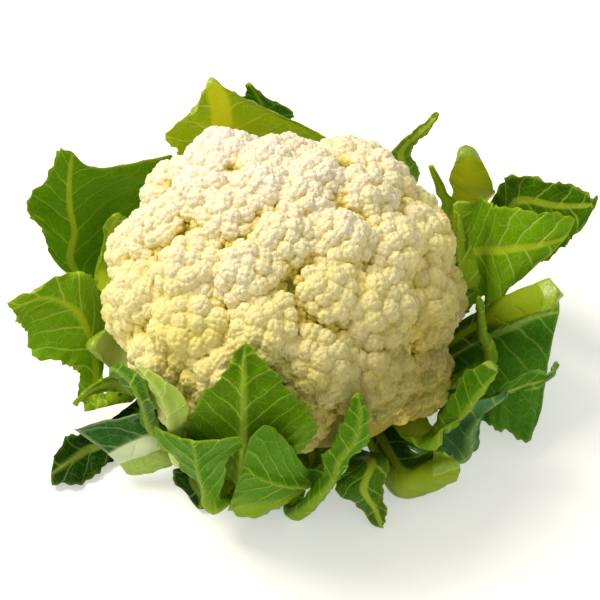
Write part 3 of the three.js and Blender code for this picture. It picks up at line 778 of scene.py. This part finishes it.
NOT_SLICED = (2, 2, 2)  # beyond every blade
for index, (name, leaf) in enumerate(LEAVES.items()):
    inner, outer, place, green, rib = leaf_faces(index, leaf)
    high, wide = inner.shape[:2]
    count = high * wide
    front = grid_quads(high, wide)
    back = front[:, ::-1] + count
    # The band of faces round the rim: along the foot, up one side, the end, and down.
    ids = np.arange(count).reshape(high, wide)
    ring = np.concatenate([ids[0, :-1], ids[:-1, -1], ids[-1, :0:-1], ids[:0:-1, 0]])
    after = np.roll(ring, -1)
    band = np.stack([after, ring, ring + count, after + count], axis=1)
    cut = np.zeros(len(band), int)
    if leaf["end"] >= CUT_END:
        cut[wide + high - 2 : 2 * wide + high - 3] = 1
    from_t, to_t, from_s = leaf.get("sliced", NOT_SLICED)
    at_t = np.tile(np.linspace(-1, 1, wide)[:-1], high - 1)
    at_s = np.repeat(np.linspace(0, 1, high)[:-1], wide - 1)
    sliced = ((at_t >= from_t) & (at_t <= to_t) & (at_s >= from_s)).astype(int)
    marks = np.concatenate([sliced, np.zeros(len(front), int), cut])
    behind = np.concatenate([np.zeros(count), np.ones(count)])
    finish = np.stack([np.tile(green.ravel(), 2), np.tile(rib.ravel(), 2), behind], axis=1)
    attributes = {"leaf": np.tile(place.reshape(-1, 3), (2, 1)), "finish": finish}
    places = np.concatenate([inner.reshape(-1, 3), outer.reshape(-1, 3)])
    faces = np.concatenate([front, back, band])
    materials = [finishes[leaf["finish"]], cut_rib]
    piece = make_piece("blade_" + name, places, faces, materials, attributes, marks)
    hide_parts("leaf_" + name)

# Curd. One dense dome of undeveloped flower buds, grown as florets, each of knobs,
# and each knob of beads. It is matt, moist and lets light in a little. The creases
# between its florets are ochre, partly the buds' own yellower tone and partly painted
# shade, and painted light and shade make it whiter on top and olive low at its right
# front. The florets and knobs are those of the CAD solid.
CURD_RADIUS = 80.0
CURD_DOME = 62.5  # from the widest level up to the top
CURD_BELLY = 40.0  # and down to the underside
CURD_LEVEL = 78.0
CURD_FORWARD = -2.0
DOME_POWER = 2.0
BELLY_POWER = 4  # squarer than the dome
FLORETS = 44
FLORET_SIZE = 0.285  # radius, as a share of the curd's reach there
FLORET_LEAST = 0.92
FLORET_MORE = 0.16
FLORET_STRAY = 0.09
FLORET_CAP = math.radians(108)
FLORET_SUNK = 0.65
KNOBS = 34
KNOB_SIZE = 0.36  # radius, as a share of the floret's
KNOB_LEAST = 0.85
KNOB_MORE = 0.3
KNOB_CAP = math.radians(88)
KNOB_SUNK = 0.29
NICK_DEPTH = 2.0
CREASE_DEPTH = 5.0
BEAD_SPACING = 3.2  # a little coarser than the real 2 to 3 mm
BEAD_RISE = 1.05
BEAD_STRAY = 0.35
BEAD_REACH = 0.64  # from a bead's middle to its nick, as a share of the spacing
KNOBBED_AREA = 1.25  # how much more surface a floret has with its knobs
HEXAGON_SHARE = 0.866  # area for each bead, as a share of its spacing squared
BUD_SPACING = 1.5
SHOWN_CAP = math.radians(80)  # further round, a floret is hidden by its neighbours
BEAD_CAP = math.radians(80)
# Shares of the painted shade: between florets, between knobs and between beads.
CREASE_SHADE_SHARE = 0.75  # of how dark a spot between florets is
NICK_SHADE_SHARE = 0.22  # between knobs
GAP_SHADE_SHARE = 0.22  # between beads
FINE_POINTS = 8200
COARSE_POINTS = 6000
COARSE_BELOW = 0.15  # florets that aim lower than this have the coarser ball
HIDDEN_POINTS = 220
CORE_POINTS = 6000
FLORETS_A_PIECE = 9
GOLDEN_ANGLE = math.pi * (3 - math.sqrt(5))


def draw(n):
    """A repeatable number from 0 to 1 for each whole number."""
    wave = np.sin(n * 12.9898 + 78.233) * 43758.5453
    return wave - np.floor(wave)


def spiral(count, cap, start=0.0):
    """Directions spread evenly over a band round +Z, in a golden spiral."""
    i = np.arange(count)
    z = math.cos(start) - (i + 0.5) / count * (math.cos(start) - math.cos(cap))
    flat = np.sqrt(1 - z * z)
    return np.stack([flat * np.cos(i * GOLDEN_ANGLE), flat * np.sin(i * GOLDEN_ANGLE), z], axis=1)


# It grew unevenly. Each of these directions swells by a share, or sinks where that is
# below 0, over a spread.
SWELLS = [
    ((0.1, 0.77, 0.63), -0.15, 0.05),
    ((0.99, 0, 0.1), -0.03, 0.1),
    ((0.47, -0.74, -0.48), 0.13, 0.12),
    ((-0.5, 0.62, 0.6), 0.05, 0.06),
]


def curd_reach(way):
    """How far the curd reaches from its middle in each direction."""
    flat = np.hypot(way[..., 0], way[..., 1])
    up = way[..., 2] > 0
    power = np.where(up, DOME_POWER, BELLY_POWER)
    deep = np.where(up, CURD_DOME, CURD_BELLY)
    reach = ((flat / CURD_RADIUS) ** power + np.abs(way[..., 2] / deep) ** power) ** (-1 / power)
    for towards, share, spread in SWELLS:
        reach = reach * (1 + share * np.exp((way @ np.array(towards) - 1) / spread))
    return reach


def hull_faces(ways):
    """Triangles of the closed ball through directions, all facing out."""
    hull = bmesh.new()
    for way in ways:
        hull.verts.new(way)
    hull.verts.index_update()
    bmesh.ops.convex_hull(hull, input=hull.verts)
    faces = np.array([[v.index for v in face.verts] for face in hull.faces])
    hull.free()
    first, second, third = (ways[faces[:, k]] for k in range(3))
    inward = (np.cross(second - first, third - first) * first).sum(axis=1) < 0
    faces[inward] = faces[inward][:, ::-1]
    return faces


def floret_ball(shown_points):
    """A ball's directions, close together where a floret shows, and its faces."""
    hidden = spiral(HIDDEN_POINTS, math.pi, SHOWN_CAP)
    ways = np.concatenate([spiral(shown_points, SHOWN_CAP), hidden])
    return ways, hull_faces(ways)


def raised(ways, knobs, sizes, radius):
    """How far sunk knobs on a ball's surface stand out of it, in each direction."""
    rise = np.full(len(ways), -NICK_DEPTH)
    for knob, size in zip(knobs, sizes):
        along = ways @ knob * radius
        left = size**2 - radius**2 + along**2
        top = along + np.sqrt(np.maximum(left, 0)) - (1 + KNOB_SUNK) * radius
        rise = np.where(left > 0, np.maximum(rise, top), rise)
    return rise


def facing_out(places, faces):
    """The direction that the surface faces at each place."""
    corners = places[faces]
    flat = np.cross(corners[:, 1] - corners[:, 0], corners[:, 2] - corners[:, 0])
    total = np.zeros_like(places)
    for k in range(3):
        np.add.at(total, faces[:, k], flat)
    return unit(total)


def bead_dome(places, knobs, sizes, radius, seed):
    """Height from 0 to 1 of the round bead that each place on a floret belongs to."""
    area = 2 * math.pi * radius**2 * (1 - math.cos(BEAD_CAP)) * KNOBBED_AREA
    count = int(area / (HEXAGON_SHARE * BEAD_SPACING**2))
    draws = [draw(seed + 3 * np.arange(count) + k) - 0.5 for k in range(3)]
    ways = unit(spiral(count, BEAD_CAP) + np.stack(draws, axis=1) * BEAD_SPACING * BEAD_STRAY / radius)
    spots = ways * (radius + raised(ways, knobs, sizes, radius))[:, None]
    nearby = KDTree(count)
    for i, spot in enumerate(spots):
        nearby.insert(spot, i)
    nearby.balance()
    nearest = np.array([nearby.find(place)[2] for place in places])
    return np.clip(1 - (nearest / (BEAD_REACH * BEAD_SPACING)) ** 2, 0, 1)


def grown_floret(i, way):
    """One floret's places, its faces, and how much painted shade each place gets for lying low among
    its bumps.
    """
    stray = np.array([draw(i + 500), draw(i + 900), draw(i + 1300)]) - 0.5
    aim = unit(way + FLORET_STRAY * stray)
    radius = curd_reach(aim) * FLORET_SIZE * (FLORET_LEAST + FLORET_MORE * draw(i))
    middle = aim * (curd_reach(aim) - FLORET_SUNK * radius)
    knobs = spiral(KNOBS, KNOB_CAP)
    sizes = radius * KNOB_SIZE * (KNOB_LEAST + KNOB_MORE * draw(40 * i + np.arange(KNOBS)))
    ways, faces = fine_ball if aim[2] > COARSE_BELOW else coarse_ball
    rise = raised(ways, knobs, sizes, radius)
    places = ways * (radius + rise)[:, None]
    beads = bead_dome(places, knobs, sizes, radius, 7000 * i)
    places = places + facing_out(places, faces) * (BEAD_RISE * (beads - 0.5))[:, None]
    turn = np.array(Vector((0, 0, 1)).rotation_difference(Vector(aim)).to_matrix())
    places = places @ turn.T + middle
    # Painted shade, where a place lies low between florets, between knobs and between beads.
    sunk = curd_reach(unit(places)) - np.linalg.norm(places, axis=1)
    low = CREASE_SHADE_SHARE * smooth_step(-3, 4.5, sunk) + NICK_SHADE_SHARE * smooth_step(0, -1.8, rise)
    low = low + GAP_SHADE_SHARE * (1 - beads) ** 2
    return places, faces, np.clip(low, 0, 1)


# Cream bud tissue: pale on top of each bead, yellow in the nicks and ochre in the creases, partly the
# buds' own tone and partly painted shade.
curd_buds, tree, surface = new_material("curd_buds")
where = node(tree, "TexCoord", {}).outputs["Object"]
# How much painted shade each place of the mesh gets.
low = node(tree, "Attribute", {}, attribute_name="crease_shade").outputs["Fac"]
cloud_size = 32.0
cloud = ramp(tree, clouds(tree, where, cloud_size), 0.35, 0.65)
cream = mix_colour(tree, cloud, linear("#f3e6a8"), linear("#ebdc78"))
# Painted light and shade: it is whitest on top, towards the key light, and dark olive
# low at its right front, where shade falls: each tone's direction, from and to how far
# along it in metres, and colour.
PAINTED_LIGHT_AND_SHADE = [
    ((-0.2, 0.45, 0.87), 0.08, 0.16, "#fdf2ec"),
    ((0.5, -0.6, -0.62), -0.035, 0.025, "#857c08"),
]
for way, near, far, painted_tone in PAINTED_LIGHT_AND_SHADE:
    inputs = {0: where, 1: way}
    spread = node(tree, "VectorMath", inputs, operation="DOT_PRODUCT").outputs["Value"]
    cream = mix_colour(tree, ramp(tree, spread, near, far, 0.0, 0.92), cream, linear(painted_tone))
# Single buds are too small to model, and drawn coarser than real so that they show.
inputs = {"Vector": where, "Scale": 1000 / BUD_SPACING, "Randomness": 0.8}
away = node(tree, "TexVoronoi", inputs).outputs["Distance"]
bud = minus(tree, 1.0, times(tree, away, away))
# A little painted shade between single buds.
low = plus(tree, low, times(tree, minus(tree, 0.85, bud), 0.25))
# Painted shade: yellow where it is light, dark ochre where it is deepest.
tint = mix_colour(tree, ramp(tree, low, 0.12, 0.5), cream, linear("#e2cf62"))
tint = mix_colour(tree, ramp(tree, low, 0.45, 1.0), tint, linear("#958a26"))
tree.links.new(tint, surface.inputs["Base Color"])
add_bump(tree, surface, bud, 0.8, 0.0006)
set_inputs(surface, {
    "Roughness": 0.55,
    "Specular IOR Level": 0.3,
    "Subsurface Weight": 0.18,
    "Subsurface Radius": (0.0025, 0.0016, 0.0005),
})

fine_ball = floret_ball(FINE_POINTS)
coarse_ball = floret_ball(COARSE_POINTS)
florets = [grown_floret(i, way) for i, way in enumerate(spiral(FLORETS, FLORET_CAP))]
# The hidden body that the florets branch from closes the gaps between them.
core_ways = spiral(CORE_POINTS, math.pi)
core = core_ways * (curd_reach(core_ways) - CREASE_DEPTH)[:, None]
groups = [[(core, hull_faces(core_ways), np.ones(len(core)))]]
groups += [florets[i : i + FLORETS_A_PIECE] for i in range(0, FLORETS, FLORETS_A_PIECE)]
for number, group in enumerate(groups):
    balls, ball_faces, crease_shades = zip(*group)
    places = np.concatenate(balls)
    places[:, 2] = np.maximum(places[:, 2], -CURD_BELLY)
    places = places + np.array([0, CURD_FORWARD, CURD_LEVEL])
    starts = np.cumsum([0] + [len(ball) for ball in balls])
    faces = np.concatenate([start + each for start, each in zip(starts, ball_faces)])
    crease_shade = np.concatenate(crease_shades)
    curd = make_piece(f"curd_{number}", places, faces, [curd_buds], {"crease_shade": crease_shade})
    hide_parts("curd")

# Studio. A plain pale table, a large soft light from the left and a little behind, a
# weaker one from the right, and the camera of the photograph, above the front. The
# places of the table, the lights and the camera are in metres.
TABLE_HALF = 3.0
table_mesh = bpy.data.meshes.new("table")
corners = [(x * TABLE_HALF, y * TABLE_HALF, 0) for x, y in ((-1, -1), (1, -1), (1, 1), (-1, 1))]
table_mesh.from_pydata(corners, [], [(0, 1, 2, 3)])
table = bpy.data.objects.new("table", table_mesh)
bpy.context.collection.objects.link(table)
# The board glows a little by itself, so that it is as white as the photo's ground.
white_board, tree, surface = new_material("white_board")
set_inputs(surface, {
    "Base Color": linear("#faf7ef"),
    "Roughness": 0.9,
    "Emission Color": linear("#ffffff"),
    "Emission Strength": 0.38,
})
table_mesh.materials.append(white_board)

HEAD_MIDDLE = Vector((0, 0, 0.06))


def soft_light(name, place, power, size, colour):
    """A square light that looks at the middle of the head."""
    lamp = bpy.data.lights.new(name, "AREA")
    lamp.energy = power
    lamp.size = size
    lamp.color = linear(colour)[:3]
    light = bpy.data.objects.new(name, lamp)
    light.location = place
    towards = HEAD_MIDDLE - Vector(place)
    light.rotation_euler = towards.to_track_quat("-Z", "Y").to_euler()
    bpy.context.collection.objects.link(light)


soft_light("key", (-0.8, 0.45, 1.3), 23, 0.8, "#fff8ec")
soft_light("fill", (0.9, -1.1, 1.3), 3, 1.4, "#ffffff")
world = bpy.data.worlds.new("studio")
world.use_nodes = True
set_inputs(world.node_tree.nodes["Background"], {"Color": linear("#ffffff"), "Strength": 0.42})
bpy.context.scene.world = world
bpy.context.scene.view_settings.view_transform = "Standard"

SENSOR_WIDTH = 36
lens = bpy.data.cameras.new("camera")
lens.sensor_width = SENSOR_WIDTH
lens.lens = SENSOR_WIDTH * VIEW_DISTANCE / VIEW_WIDTH
camera = bpy.data.objects.new("camera", lens)
camera.location = Vector(VIEW_TARGET + VIEW_BACK * VIEW_DISTANCE) / 1000
camera.rotation_euler = (math.pi / 2 - VIEW_TILT, 0, 0)
bpy.context.collection.objects.link(camera)
bpy.context.scene.camera = camera
